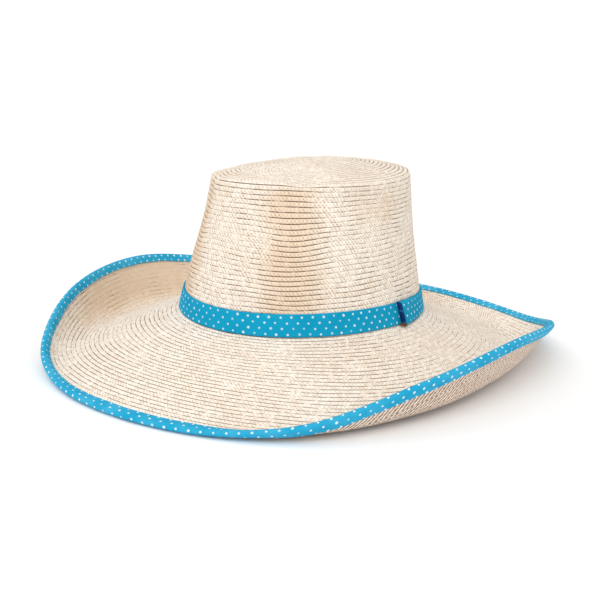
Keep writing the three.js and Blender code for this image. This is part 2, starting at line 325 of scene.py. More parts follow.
def brim_curves(angles):
    """For each angle, the straw's middle from the head oval outwards: width, out, up, slope."""
    position = angles / (2 * math.pi) * len(BRIM_ROLL["end slope"])
    end_slope = through_values(BRIM_ROLL["end slope"], position, True)
    roll_middle = through_values(BRIM_ROLL["roll middle"], position, True)
    roll_length = around(BRIM_ROLL_LENGTH, angles)
    width = around(BRIM_WIDTH, angles)
    share = np.arange(CURVE_STEPS + 1) / CURVE_STEPS
    rolled = smooth((share - roll_middle[:, None]) / roll_length[:, None] + 0.5)
    start_slope = around(BRIM_START_SLOPE, angles)[:, None]
    slope = np.radians(lerp(start_slope, end_slope[:, None], rolled))
    step = width[:, None] / CURVE_STEPS
    out = np.cumsum(np.cos(slope) * step, axis=1) - np.cos(slope) * step
    up = np.cumsum(np.sin(slope) * step, axis=1) - np.sin(slope) * step
    return width, out, up + head_edge_height(angles)[:, None], slope


def brim_point(angles, distance, off, curves=None):
    """Points of the brim at distances along the straw and heights off its middle."""
    width, out, up, slope = curves or brim_curves(angles)
    position = np.clip(distance / width[:, None], 0, 1) * CURVE_STEPS
    step = np.minimum(np.floor(position).astype(int), CURVE_STEPS - 1)
    t = position - step

    def between(values):
        near = np.take_along_axis(values, step, 1)
        return lerp(near, np.take_along_axis(values, step + 1, 1), t)

    lean = between(slope)
    out_here = between(out) - np.sin(lean) * off
    return head_point(angles[:, None], out_here, between(up) + np.cos(lean) * off)


def brim_surface(angles, rows):
    """The straw's middle. Rows below 0 are the ledge that runs in under the crown's wall."""
    curves = brim_curves(angles)
    straw_edge = curves[0][:, None] - BINDING_THICKNESS - CLOTH_GAP
    share = np.maximum(rows, 0) / BRIM_ROWS
    reach = share * straw_edge + wander(angles[:, None], share)
    points = brim_point(angles, reach, 0.0, curves)
    angle = angles[:, None]
    ledge = head_point(angle, np.minimum(rows, 0) * ROW_PITCH, head_edge_height(angle))
    return np.where((rows < 0)[..., None], ledge, points)


print("brim:", BRIM_ROWS, "rows of braid")

# %% [markdown]
# ## Rows of braid
# The braid is a spiral: after one turn round the hat, each row has moved out by its own width.
# The mesh follows it. Its lines run along the braid, so that every crevice between two rows is a
# clean edge, and a line that has gone once round carries on as the next one. Displacing a plain
# grid would need far more faces for the same crisp rows.
# Each corner of the mesh also gets a place along the braid and across its rows, as a UV map that
# the plaited finish is drawn on.

# %% Build one braided piece
ANGLES = 224
STEP = 1e-3  # how far apart the points are that give a surface's direction

# Millimetres that a row stands out, at shares of its width
OUTSIDE_ROW = {0.0: -0.34, 0.09: -0.02, 0.3: 0.1, 0.65: 0.08, 0.91: -0.06}
INSIDE_ROW = {0.0: -0.35, 0.15: 0.02, 0.85: 0.02}

# How open the crevices are: on average, less on the crown, more on the brim, the brim's most
OPENNESS = 0.7
CROWN_CLOSER = 0.13
BRIM_WIDER = 0.15
BRIM_MOST = 1.2

# Where the straw is bent hardest: rows past the tip's edge, heading, half its span, extra
CREASES = (
    (1.05, 20.0, 36.0, 1.4),
    (-0.8, 70.0, 22.0, 1.0),
    (0.3, 64.0, 16.0, 0.7),
    (0.8, 180.0, 50.0, 0.5),
)
CREASE_WIDTH = 0.7  # rows

# Where the brim's rows lie closer together: heading, half its span, how much less they gape
CALM_SIDES = ((105.0, 28.0, 0.45), (-80.0, 40.0, 0.2))

# Painted shade, a darker tan put into the straw's colour: how much in the pinches, on the wall at a
# heading beside them, and on the roll
PINCH_PAINTED_SHADE = 1.1
WALL_PAINTED_SHADE = 0.55
WALL_PAINTED_SHADE_HEADING = 82.0
ROLL_PAINTED_SHADE = 1.4
ROLL_PAINTED_SHADE_ROWS = 15  # from the brim's edge inwards, fading over the last of them
ROLL_PAINTED_SHADE_FADE = 9


def unevenness(points, size):
    """A slow, smooth swing between -1 and 1 that differs from place to place."""
    x, y, z = (points[..., k] / size for k in range(3))
    return (
        np.sin(x * 1.3 + y * 2.1 + 0.7)
        + np.sin(y * 1.7 - z * 1.9 + 2.9)
        + np.sin(z * 2.3 + x * 1.1 - y * 0.6 + 4.2)
    ) / 3


def surface_normal(surface, angles, rows, first, last):
    """Outwards on the crown and upwards on the brim."""
    lower = np.clip(rows - STEP, first, last)
    upper = np.clip(rows + STEP, first, last)
    across = surface(angles, upper) - surface(angles, lower)
    along = surface(angles + STEP, rows) - surface(angles - STEP, rows)
    normal = np.cross(across, along)
    size = np.linalg.norm(normal, axis=-1, keepdims=True)
    return np.where(size > 1e-9, normal / np.maximum(size, 1e-9), [0.0, 0.0, 1.0])


def crevice_strength(surface, angles, rows, base):
    """How open the crevice beside a row is: it comes and goes, and gapes where the straw bends."""
    strength = OPENNESS + 0.3 * unevenness(base, 16.0) + 0.3 * unevenness(base[..., ::-1], 5.5)
    if surface is crown_surface:
        angle = np.broadcast_to(angles[:, None], rows.shape)
        on_wall = smooth((rows - TIP_ROWS) / 2)
        # More on the wearer's left and at the back right, in the pinches and on the tip
        strength += 0.2 * np.cos(angle - math.radians(75)) - CROWN_CLOSER
        strength += 0.3 * smooth(-2 * np.cos(angle - math.radians(34)))
        strength += 0.6 * pinch_share(angle) * on_wall
        strength += 0.35 * (1 - on_wall) * smooth(rows / 6)
        for row, heading, half_span, extra in CREASES:
            reach = smooth((math.radians(half_span) - turned_from(angle, heading)) / 0.2)
            away = (rows - TIP_ROWS - row) / CREASE_WIDTH
            strength += extra * reach * np.exp(-(away**2))
    else:
        # More towards the front left, less on the calm sides
        strength += 0.35 * np.cos(angles - math.radians(35))[:, None] + BRIM_WIDER
        strength = np.minimum(strength, BRIM_MOST)
        for heading, span, calmer in CALM_SIDES:
            near = smooth(1.6 - turned_from(angles, heading) / math.radians(span))
            strength -= calmer * near[:, None]
    return np.clip(strength, 0.1, 1.6)


def painted_shade_of(surface, angles, rows, base):
    """Painted shade, a darker tan: in the pinches, beside them on the wall, on the roll at the
    wearer's right.
    """
    patchy = 0.85 + 0.25 * unevenness(base, 12.0)
    if surface is crown_surface:
        angle = np.broadcast_to(angles[:, None], rows.shape)
        below_tip = rows - TIP_ROWS
        # Painted shade in the pinches below the tip, and on the wall beside them under the shoulder
        pinch_shade = PINCH_PAINTED_SHADE * pinch_share(angle) * smooth(below_tip / 3)
        beside = smooth(1.5 - turned_from(angle, WALL_PAINTED_SHADE_HEADING) / 0.3)
        beside = beside * np.exp(-(((below_tip - 6) / 5) ** 2))
        return (pinch_shade + WALL_PAINTED_SHADE * beside) * patchy
    # Painted shade on the inner face of the roll at the wearer's right, near the brim's edge
    rolled = smooth(-1.5 * np.cos(angles - math.radians(60)) - 0.3)[:, None]
    near_edge = smooth((rows - BRIM_ROWS + ROLL_PAINTED_SHADE_ROWS) / ROLL_PAINTED_SHADE_FADE)
    return ROLL_PAINTED_SHADE * rolled * near_edge * patchy


def grid_places(columns, rows):
    return (a.ravel() for a in np.meshgrid(np.arange(columns), np.arange(rows), indexing="ij"))


def corners_of(i, j):
    return [(i, j), (i, j + 1), (i + 1, j + 1), (i + 1, j)]


def braid_side(surface, first, last, profile, off, facing):
    """One face of a braided piece: points, quads, and the braid's coordinates at their corners."""
    angles = np.arange(ANGLES + 1) / ANGLES * 2 * math.pi
    share = angles[:, None] / (2 * math.pi)
    start = math.floor(first) - 1
    row_numbers = np.arange(start, math.ceil(last) + 1)
    lines = (row_numbers[:, None] + np.array(list(profile))[None, :]).ravel()
    relief = np.tile(list(profile.values()), len(row_numbers))
    rows = np.clip(lines[None, :] + share, first, last)
    base = surface(angles, rows)
    fade = smooth(np.minimum(rows - first, last - rows) / 0.6)
    strength = crevice_strength(surface, angles, rows, base)
    depth = relief[None, :] * strength + 0.12 * unevenness(base, 5.0)
    if surface is crown_surface:
        depth = depth + facing * 0.5 * unevenness(base, 9.0) * smooth((TIP_ROWS - rows) / 4)
    normal = surface_normal(surface, angles, rows, first, last)
    points = base + normal * (off + facing * depth * fade)[..., None]

    middle = surface(angles, np.clip(row_numbers[None, :] + 0.5 + share, first, last))
    lengths = np.linalg.norm(np.diff(middle, axis=0), axis=-1)
    along = np.concatenate([np.zeros((1, len(row_numbers))), np.cumsum(lengths, axis=0)])
    along = along + np.concatenate([[0.0], np.cumsum(along[-1])[:-1]])[None, :]

    count = len(lines)
    i, j = grid_places(ANGLES, count - 1)
    kept = (rows[i, j] < rows[i, j + 1]) | (rows[i + 1, j] < rows[i + 1, j + 1])
    i, j = i[kept], j[kept]
    corners = corners_of(i, j)
    if facing < 0:
        corners.reverse()
    quads = np.stack([a * count + b for a, b in corners], -1)
    row = j // len(profile)
    uv = np.stack(
        [np.stack([along[a, row], rows[a, b] - share[a, 0]], -1) for a, b in corners], 1
    )
    # Painted shade: how much darker tan the finish puts at each point
    painted_shade = painted_shade_of(surface, angles, rows, base)
    return points.reshape(-1, 3), quads, uv, np.stack([strength.ravel(), painted_shade.ravel()])


def braided_piece(name, surface, first, last, outside_off, inside_off):
    """A closed braided wall between two faces, its two edges joined by a strip."""
    outer = braid_side(surface, first, last, OUTSIDE_ROW, outside_off, 1)
    inner = braid_side(surface, first, last, INSIDE_ROW, inside_off, -1)
    points, uvs = [outer[0], inner[0]], [outer[2], inner[2]]
    quads = [outer[1], inner[1] + len(outer[0])]
    openness = [outer[3], inner[3]]
    angles = np.arange(ANGLES + 1) / ANGLES * 2 * math.pi
    for rows, turned in ((first, False), (last, True)):
        if surface is crown_surface and rows == first:
            continue
        edge = np.full((ANGLES + 1, 1), float(rows))
        base = surface(angles, edge)
        normal = surface_normal(surface, angles, edge, first, last)
        pair = np.concatenate([base + normal * outside_off, base + normal * inside_off], 1)
        at = sum(len(p) for p in points) + 2 * np.arange(ANGLES)
        strip = np.stack([at, at + 2, at + 3, at + 1], -1)
        points.append(pair.reshape(-1, 3))
        quads.append(strip[:, ::-1] if turned else strip)
        uvs.append(np.zeros((ANGLES, 4, 2)) + 0.5)
        openness.append(np.full((2, pair.shape[0] * 2), 0.5))
    faces_of = np.concatenate([np.full(len(q), k) for k, q in enumerate(quads)])
    points, quads, uvs = (np.concatenate(parts) for parts in (points, quads, uvs))
    openness = np.concatenate(openness, axis=1)
    return mesh_object(name, points, quads, uvs, "braid", faces_of, openness)


def add_object(name, data):
    added = bpy.data.objects.new(name, data)
    bpy.context.scene.collection.objects.link(added)
    return added


def add_piece(name, mesh):
    print(f"{name}: {sum(len(p.vertices) - 2 for p in mesh.polygons)} triangles")
    return add_object(name, mesh)


def mesh_object(name, points, quads, uvs, uv_name, faces_of=None, openness=None):
    """An object at the origin from points of the upright hat, smooth-shaded, seams merged.

    On a braided wall, faces_of is 0 outside, 1 inside and more at the cut edges, left flat, and
    openness holds the crevices' strength and the painted shade at each point."""
    mesh = bpy.data.meshes.new(name)
    mesh.from_pydata(to_row(points).tolist(), [], quads.tolist())
    mesh.shade_smooth()
    if faces_of is not None:
        mesh.polygons.foreach_set("material_index", (faces_of == 1).astype(int))
        mesh.polygons.foreach_set("use_smooth", faces_of < 2)
        # The second attribute is painted shade, a darker tan that the straw's finish mixes in
        for attribute, values in zip(("crevice", "painted_shade"), openness):
            mesh.attributes.new(attribute, "FLOAT", "POINT").data.foreach_set("value", values)
    mesh.uv_layers.new(name=uv_name).data.foreach_set("uv", uvs.astype(np.float32).ravel())
    work = bmesh.new()
    work.from_mesh(mesh)
    bmesh.ops.remove_doubles(work, verts=work.verts, dist=2e-6)
    work.to_mesh(mesh)
    work.free()
    return add_piece(name, mesh)


# %% Crown and brim
crown = braided_piece("crown_braid", crown_surface, 0.0, CROWN_ROWS, 0.0, -STRAW_THICKNESS)
LEDGE_ROWS = STRAW_THICKNESS / ROW_PITCH
HALF_WALL = STRAW_THICKNESS / 2
brim = braided_piece("brim_braid", brim_surface, -LEDGE_ROWS, BRIM_ROWS, HALF_WALL, -HALF_WALL)

# %% [markdown]
# ## Cotton strips
# The band, its lapped end and the binding are the same cotton. Each is a closed ring or patch
# swept along the hat, with soft edges and a little puckering. Their UV maps count millimetres
# along the strip and across it, so that the printed dots keep one size round every fold.

# %% Sweep a cotton strip
CLOTH_SEGMENTS = 360


def swept_quads(columns, count, closed_along):
    """Quads of a tube: columns of a closed profile with count points, side by side."""
    spans = columns if closed_along else columns - 1
    i, j = grid_places(spans, count)
    here, beyond = i * count, (i + 1) % columns * count
    above = (j + 1) % count
    return np.stack([here + j, here + above, beyond + above, beyond + j], -1), i, j


def strip_uvs(along, across, i, j):
    """Corner coordinates of swept_quads from lengths along the strip and across its profile."""
    return np.stack([np.stack([along[a], across[b]], -1) for a, b in corners_of(i, j)], 1)


def cotton_ring(name, section, across, start):
    """A ring of cotton round the hat. section(angles) gives the profile's points per angle."""
    angles = math.radians(start) + np.arange(CLOTH_SEGMENTS) / CLOTH_SEGMENTS * 2 * math.pi
    points = section(angles)
    quads, i, j = swept_quads(CLOTH_SEGMENTS, points.shape[1], True)
    outer = points[:, points.shape[1] // 4]
    lengths = np.linalg.norm(np.roll(outer, -1, axis=0) - outer, axis=-1)
    along = np.concatenate([[0.0], np.cumsum(lengths)])
    uvs = strip_uvs(along, np.append(across, across[-1]), i, j)
    print(f"{name}: {along[-1]:.0f} mm round")
    return mesh_object(name, points.reshape(-1, 3), quads, uvs, "cloth"), along[-1]


def profile_columns(profile):
    """The two columns of a profile, each ready to be spread over many angles."""
    return np.array(profile).T[:, None, :]


# %% Hatband
BAND_PROFILE = (  # height as a share of the band's, distance out from its inner face
    (0.005, 0.0), (0.0, 0.5), (0.01, 0.95), (0.035, 1.12),
    (0.1, 1.08), (0.2, 1.14), (0.35, 1.18), (0.5, 1.2),
    (0.65, 1.18), (0.8, 1.14), (0.9, 1.08), (0.965, 1.12),
    (0.99, 0.95), (1.0, 0.5), (0.995, 0.0), (0.5, 0.0),
)


def band_foot(angle):
    return head_edge_height(angle) + STRAW_THICKNESS / 2 + CLOTH_GAP


def band_section(angles):
    share, out = profile_columns(BAND_PROFILE)
    angle = angles[:, None]
    z = band_foot(angle) + BAND_HEIGHT * share
    ripple = 0.06 * np.sin(23 * angle + 9 * share) + 0.05 * np.sin(41 * angle - 5 * share)
    points = wall_point(angle, z, CLOTH_GAP + np.where(out > 0.2, out + ripple, out))
    return points[:, ::-1]


band_across = BAND_HEIGHT * profile_columns(BAND_PROFILE)[0, 0, ::-1]
BAND_START = LAP_ANGLE + 9.0  # the band's two ends meet under the lap
hatband, band_length = cotton_ring("hatband_cotton", band_section, band_across, BAND_START)

# %% Brim binding
BINDING_PROFILE = (  # distance back from the binding's outside, height off the straw's middle
    (7.2, 1.3), (7.3, 1.7), (7.15, 2.15), (6.7, 2.25), (6.1, 2.08), (5.5, 2.26),
    (4.2, 2.3), (2.6, 2.28), (1.4, 2.15), (0.6, 1.7), (0.12, 0.9), (0.0, 0.0),
)


def mirrored_profile(profile):
    return list(profile) + [(back, -off) for back, off in reversed(profile[:-1])]


def binding_places(angles, loop):
    """Points on the binding for pairs of distance back from its outside and height off straw."""
    back, off = profile_columns(loop)
    angle = angles[:, None]
    curves = brim_curves(angles)
    free = smooth((back - 4.5) / 2)
    stray = free * (0.18 * np.sin(17 * angle) + 0.12 * np.sin(39 * angle + 1.0))
    pucker = np.where(np.abs(off) > 1.5, 0.05 * np.sin(150 * angle) - 0.05, 0.0) * free
    reach = curves[0][:, None] - back + stray
    return brim_point(angles, reach, off + pucker * np.sign(off), curves)


def binding_section(angles):
    loop = mirrored_profile(BINDING_PROFILE) + [(4.0, -1.3), (1.0, -1.3), (1.0, 1.3), (4.0, 1.3)]
    return binding_places(angles, loop)[:, ::-1]


def profile_lengths(loop):
    steps = np.hypot(*np.diff(np.array(loop), axis=0).T)
    return np.concatenate([[0.0], np.cumsum(steps)])


binding_outside = profile_lengths(mirrored_profile(BINDING_PROFILE))
binding_across = np.concatenate([binding_outside, binding_outside[[-1, -1, 0, 0]]])[::-1]
binding, binding_length = cotton_ring("brim_binding_cotton", binding_section, binding_across, 180.0)

# %% Lapped end of the band
LAP_COLUMNS = 31
LAP_MAP_START = 3.0  # shifts the dots
SHADED_WIDTH = 1.2  # the turned-in end lies in its own shade this far round the fold
LAP_PROFILE = (  # height as a share of the lap's, share of its thickness
    (0.01, 0.0), (0.0, 0.3), (0.0, 0.7), (0.03, 0.93), (0.12, 1.0), (0.35, 1.03), (0.65, 1.03),
    (0.88, 1.0), (0.97, 0.93), (1.0, 0.7), (1.0, 0.3), (0.99, 0.0), (0.5, 0.0),
)


def lap_points():
    share = np.linspace(0, 1, LAP_COLUMNS)[:, None]
    height, depth = profile_columns(LAP_PROFILE)
    thickness = lerp(LAP_EDGE_THICKNESS, LAP_END_THICKNESS, smooth(share)) - 0.1
    along = LAP_LENGTH * share - LAP_LEAN * (1 - share) * height
    angle = math.radians(LAP_ANGLE) + along / (HEAD_LENGTH / 2)
    z = band_foot(angle) + (BAND_HEIGHT + LAP_OVERHANG) * height
    seat = 2 * CLOTH_GAP + BAND_THICKNESS
    return wall_point(angle, z, seat + thickness * depth)


def lap_mesh():
    points = lap_points()
    columns, count = points.shape[:2]
    quads, i, j = swept_quads(columns, count, False)
    heights = profile_columns(LAP_PROFILE + LAP_PROFILE[:1])[0, 0]
    lengths = np.linspace(0, LAP_LENGTH, columns) + LAP_MAP_START
    uvs = strip_uvs(lengths, heights * BAND_HEIGHT, i, j)
    return points, quads[:, ::-1], uvs[:, ::-1]


lap_shape, lap_quads, lap_uvs = lap_mesh()
band_lap = mesh_object("band_lap_cotton", lap_shape.reshape(-1, 3), lap_quads, lap_uvs, "cloth")

# %% Close the lap's two ends
lap_work = bmesh.new()
lap_work.from_mesh(band_lap.data)
rims = [edge for edge in lap_work.edges if edge.is_boundary]
ends = bmesh.ops.holes_fill(lap_work, edges=rims, sides=0)["faces"]
bmesh.ops.triangulate(lap_work, faces=ends)
bmesh.ops.recalc_face_normals(lap_work, faces=lap_work.faces)
cloth_map = lap_work.loops.layers.uv["cloth"]
for face in lap_work.faces:
    corners = len(face.verts)
    end_wall = corners == 3 and face.normal.y < -0.8
    from_end = sum(corner[cloth_map].uv.x for corner in face.loops) / corners - LAP_MAP_START
    face.material_index = int(end_wall or (corners == 4 and from_end < SHADED_WIDTH))
lap_work.to_mesh(band_lap.data)
lap_work.free()

# %% [markdown]
# ## Finishes
# All finishes are nodes. A few small helpers keep each tree readable: a number or colour goes
# straight onto a socket, and a pattern is linked to it.

# %% Node helpers
def put(tree, socket, value):
    if isinstance(value, bpy.types.NodeSocket):
        tree.links.new(value, socket)
    else:
        socket.default_value = value


def add_node(tree, kind, values, output=0, **choices):
    """A node with its choices made and its inputs filled, by name or number, as its output."""
    node = tree.nodes.new(kind)
    for choice, value in choices.items():
        setattr(node, choice, value)
    for name, value in values.items():
        put(tree, node.inputs[name], value)
    return node.outputs[output]


def calculate(tree, operation, *values):
    return add_node(tree, "ShaderNodeMath", dict(enumerate(values)), operation=operation)


def fade_between(tree, value, start, end, low=0.0, high=1.0):
    given = dict(enumerate((value, start, end, low, high)))
    return add_node(tree, "ShaderNodeMapRange", given, interpolation_type="SMOOTHSTEP")


def mix_colours(tree, share, first, second):
    given = {0: share, 6: first, 7: second}
    return add_node(tree, "ShaderNodeMix", given, 2, data_type="RGBA")


def combine(tree, *values):
    return add_node(tree, "ShaderNodeCombineXYZ", dict(enumerate(values)))


def random_value(tree, vector):
    return add_node(tree, "ShaderNodeTexWhiteNoise", {"Vector": vector}, "Value")


def noise(tree, vector, scale, detail):
    given = {"Vector": vector, "Scale": scale, "Detail": detail}
    return add_node(tree, "ShaderNodeTexNoise", given)


def place_on_map(tree, uv_name):
    split = tree.nodes.new("ShaderNodeSeparateXYZ")
    put(tree, split.inputs[0], add_node(tree, "ShaderNodeUVMap", {}, uv_map=uv_name))
    return split.outputs[0], split.outputs[1]


def object_place(tree):
    return add_node(tree, "ShaderNodeTexCoord", {}, "Object")


def attribute(tree, name):
    return add_node(tree, "ShaderNodeAttribute", {}, "Fac", attribute_name=name)


def bump(tree, height, distance):
    return add_node(tree, "ShaderNodeBump", {"Distance": distance, "Height": height})


def with_tree(tree):
    """The four helpers that a finish calls most, each told once which tree is meant."""
    return (partial(helper, tree) for helper in (calculate, fade_between, mix_colours, combine))


def new_finish(name, roughness, specular=0.5):
    material = bpy.data.materials.new(name)
    material.use_nodes = True
    tree = material.node_tree
    tree.nodes.clear()
    shader = tree.nodes.new("ShaderNodeBsdfPrincipled")
    shader.inputs["Roughness"].default_value = roughness
    shader.inputs["Specular IOR Level"].default_value = specular
    tree.links.new(shader.outputs[0], tree.nodes.new("ShaderNodeOutputMaterial").inputs[0])
    return material, tree, shader


# %% [markdown]
# ### Plaited palm leaf
# Narrow strips of leaf cross each other on the slant, over two and under one. On the real straw
# this shows as small rounded cells with pinholes between their corners, and as a thin dark
# crevice, broken here and there, where one row of braid lies on the next.
# The finish paints the dark in these gaps as shade in the straw's colour. An image could hold that,
# but a rule follows the spiral all the way round without a seam.

# %% Palm braid
def palm_braid(name, colours, strip_pitch, line_strength, slits):
    """Colours are pale, deep and dark, the dark one being painted shade in the gaps, strip_pitch is
    the millimetres along the braid from one leaf strip to the next, and slits are how dark they are
    at least and at most, and how wide."""
    pale, deep, gap_shade_colour = colours
    material, tree, shader = new_finish(name, 0.75, 0.3)
    work, fade, mix, joined = with_tree(tree)
    along, rows = place_on_map(tree, "braid")
    place = object_place(tree)
    row = work("FLOOR", rows)

    # Two slanting sets of strips. Of every three crossings, the second set lies on top in two.
    sway = work("MULTIPLY", noise(tree, place, 90.0, 1.0), 0.6)
    lengthwise = work("ADD", work("DIVIDE", along, strip_pitch), sway)
    slants = [work(sign, lengthwise, rows) for sign in ("ADD", "SUBTRACT")]
    ridges = [work("ABSOLUTE", work("SINE", work("MULTIPLY", s, math.pi))) for s in slants]
    strips = [work("FLOOR", s) for s in slants]
    thirds = work("FRACT", work("DIVIDE", work("ADD", *strips), 3.0))
    over = work("GREATER_THAN", thirds, 0.2)
    flat = [work("POWER", ridge, 0.3) for ridge in ridges]
    steep = [work("POWER", ridge, 0.9) for ridge in ridges]
    first_over = work("MULTIPLY", flat[0], steep[1])
    second_over = work("MULTIPLY", flat[1], steep[0])
    plait = work("MULTIPLY_ADD", work("SUBTRACT", second_over, first_over), over, first_over)

    # Chance gives each crossing its own tone, some a slit beside the strip, some a pinhole.
    # Both are painted dark, as the shade inside these gaps.
    chance = random_value(tree, joined(*strips, row))
    beside = work("FLOOR", work("ADD", slants[1], 0.5))
    slit_chance = random_value(tree, joined(strips[0], beside, row))
    least, most, width = slits
    slit_shown = fade(slit_chance, 0.0, 1.0, least, most)
    slit = work("MULTIPLY", fade(ridges[1], 0.1, width, 1.0, 0.0), slit_shown)
    opened = attribute(tree, "crevice")
    if most < 1.0:  # the outside, where the slits are fainter beside wide crevices
        slit = work("MULTIPLY", slit, fade(opened, 0.6, 1.1, 1.0, 0.6))
    corner = work("MULTIPLY", *[work("SUBTRACT", 1.0, ridge) for ridge in ridges])
    # Where the rows lie close, the pinholes show instead of the crevices
    close = fade(opened, 0.3, 0.9, 0.4, 0.0)
    open_here = fade(work("ADD", chance, close), 0.5, 1.0, 0.0, 0.8)
    pinhole = work("MULTIPLY", fade(corner, 0.2, 0.6), open_here)

    # Painted shade in the crevice between rows: as dark as the crevice is open, and broken into
    # short stretches
    across = work("FRACT", rows)
    edge = work("MINIMUM", across, work("SUBTRACT", 1.0, across))
    line_place = joined(work("MULTIPLY", along, 0.2), work("MULTIPLY", row, 3.7), 0.0)
    reach = work("MULTIPLY_ADD", opened, 0.2, noise(tree, line_place, 1.0, 4.0))
    shown = fade(reach, 0.6, 0.7, 0.12, line_strength)
    line_width = fade(opened, 0.4, 1.3, 0.07, 0.16)
    line = work("MULTIPLY", fade(edge, 0.02, line_width, 1.0, 0.0), shown)

    # Tone by crossing, by a slow drift and by painted shade, then the painted shade of the gaps on
    # top of it
    tone = mix(work("MULTIPLY", chance, 0.5), pale, deep)
    tone = mix(fade(noise(tree, place, 16.0, 3.0), 0.45, 0.7, 0.0, 0.22), tone, deep)
    # Painted shade from the attribute: the deep tan in the pinches, beside them and on the roll
    tone = mix(fade(attribute(tree, "painted_shade"), 0.0, 1.0, 0.0, 0.9), tone, deep)
    # Painted shade in the grooves between the leaf strips
    tone = mix(fade(plait, 0.0, 0.4, 0.22, 0.0), tone, gap_shade_colour)
    # Painted shade in the crevices, pinholes and slits, on top of everything
    gap_shade_mask = work("MAXIMUM", work("MAXIMUM", line, pinhole), slit)
    put(tree, shader.inputs["Base Color"], mix(gap_shade_mask, tone, gap_shade_colour))

    grain = noise(tree, joined(work("MULTIPLY", slants[0], 0.7), slants[1], row), 6.0, 2.0)
    height = work("MULTIPLY_ADD", grain, 0.15, plait)
    put(tree, shader.inputs["Normal"], bump(tree, height, 0.0003))
    return material


straw = palm_braid(
    "palm_braid",
    ((0.98, 0.92, 0.84, 1.0), (0.83, 0.65, 0.48, 1.0), (0.13, 0.055, 0.02, 1.0)),
    strip_pitch=2.7,
    line_strength=1.0,
    slits=(0.0, 0.7, 0.35),
)
# The inside of crown and brim is a darker, pinker copy of the straw with stronger slits: painted
# shade, for faces turned away from the lamps
straw_inside_shaded = palm_braid(
    "palm_braid_inside_shaded",
    ((0.97, 0.83, 0.7, 1.0), (0.84, 0.6, 0.46, 1.0), (0.02, 0.008, 0.004, 1.0)),
    strip_pitch=3.8,
    line_strength=0.5,
    slits=(0.75, 1.0, 0.9),
)
for piece in (crown, brim):
    piece.data.materials.append(straw)
    piece.data.materials.append(straw_inside_shaded)

# %% [markdown]
# ### Dotted cotton
# A plain weave, printed bright blue and leaving small near-white dots in staggered rows. The
# dots are cells of a lattice on the strip's own UV map, each moved and sized a little by chance,
# as print on cloth is. The weave is a fine bump with a slight change of colour.

# %% Cotton
BAND_DOTS = (7.4, 3.8)  # from dot to dot and from row to row
BINDING_DOTS = (7.6, 3.9)
DOT_RADIUS = 0.68
DOT_BLUR = 0.25
DOT_STAGGER = 0.56  # how far each row of dots is shifted, as a share of their spacing
THREAD_SPACING = 0.45


def dotted_cotton(name, dot_spacing, row_spacing, colours, dot_strength):
    """Colours are the blue, a paler blue and the dots."""
    blue, pale_blue, dot_colour = colours
    material, tree, shader = new_finish(name, 0.85, 0.15)
    work, fade, mix, joined = with_tree(tree)
    along, across = place_on_map(tree, "cloth")
    rows = work("DIVIDE", across, row_spacing)
    row = work("FLOOR", rows)
    places = work("MULTIPLY_ADD", row, DOT_STAGGER, work("DIVIDE", along, dot_spacing))
    column = work("FLOOR", places)
    jitter = [random_value(tree, joined(column, row, seed)) for seed in (0.3, 1.3, 2.3)]
    offsets = []
    for position, spacing, chance, stray in (
        (places, dot_spacing, jitter[0], 0.7),
        (rows, row_spacing, jitter[1], 0.5),
    ):
        aside = work("MULTIPLY", work("SUBTRACT", work("FRACT", position), 0.5), spacing)
        offsets.append(work("MULTIPLY_ADD", work("SUBTRACT", chance, 0.5), stray, aside))
    distance = work("SQRT", work("ADD", *[work("MULTIPLY", way, way) for way in offsets]))
    radius = work("MULTIPLY_ADD", jitter[2], 0.3, DOT_RADIUS - 0.1)
    strength = fade(jitter[1], 0.0, 0.6, 0.6 * dot_strength, dot_strength)
    past_edge = work("SUBTRACT", distance, radius)
    dot = work("MULTIPLY", fade(past_edge, -DOT_BLUR, DOT_BLUR, 1.0, 0.0), strength)

    thread_turn = 2 * math.pi / THREAD_SPACING
    threads = [work("SINE", work("MULTIPLY", way, thread_turn)) for way in (along, across)]
    weave = work("MULTIPLY", *threads)
    drift = fade(noise(tree, object_place(tree), 60.0, 3.0), 0.3, 0.75, 0.0, 0.45)
    ground = mix(drift, blue, pale_blue)
    ground = mix(fade(weave, -1.0, 1.0, 0.0, 0.16), ground, pale_blue)
    put(tree, shader.inputs["Base Color"], mix(dot, ground, dot_colour))
    put(tree, shader.inputs["Normal"], bump(tree, weave, 0.00005))
    return material


cotton = dotted_cotton(
    "dotted_cotton", *BAND_DOTS,
    ((0.001, 0.32, 0.55, 1.0), (0.008, 0.42, 0.68, 1.0), (0.72, 0.9, 0.95, 1.0)), 0.9
)
# The binding's cotton has the band's print spaced a little wider, and is a paler copy: painted
# light, for the top of its fold that catches the lamps
binding_cotton_lit = dotted_cotton(
    "dotted_cotton_binding_lit", *BINDING_DOTS,
    ((0.006, 0.36, 0.62, 1.0), (0.1, 0.54, 0.8, 1.0), (0.82, 0.96, 1.0, 1.0)), 1.0
)
shaded_cotton = dotted_cotton(
    "shaded_cotton_fold", *BAND_DOTS,
    ((0.0, 0.03, 0.14, 1.0), (0.005, 0.06, 0.24, 1.0), (0.05, 0.2, 0.45, 1.0)), 0.5
)
for piece, finish in ((hatband, cotton), (binding, binding_cotton_lit), (band_lap, cotton)):
    piece.data.materials.append(finish)
band_lap.data.materials.append(shaded_cotton)

# %% [markdown]
# ## Thread and frayed ends
# One seam goes round the binding and shows as small stitches in its groove, above and below. At
# the foot of the lap the leaf that ties the band down ends in a frayed knot. Both follow lines, so
# Geometry Nodes build them: one group sets stitches along a line, the other gives loose strands
# their thickness. Modelling hundreds of stitches by hand would gain nothing.

# %% Plain finishes for thread and knot
def plain_finish(name, colour, roughness):
    material, _, shader = new_finish(name, roughness, 0.2)
    shader.inputs["Base Color"].default_value = colour
    return material


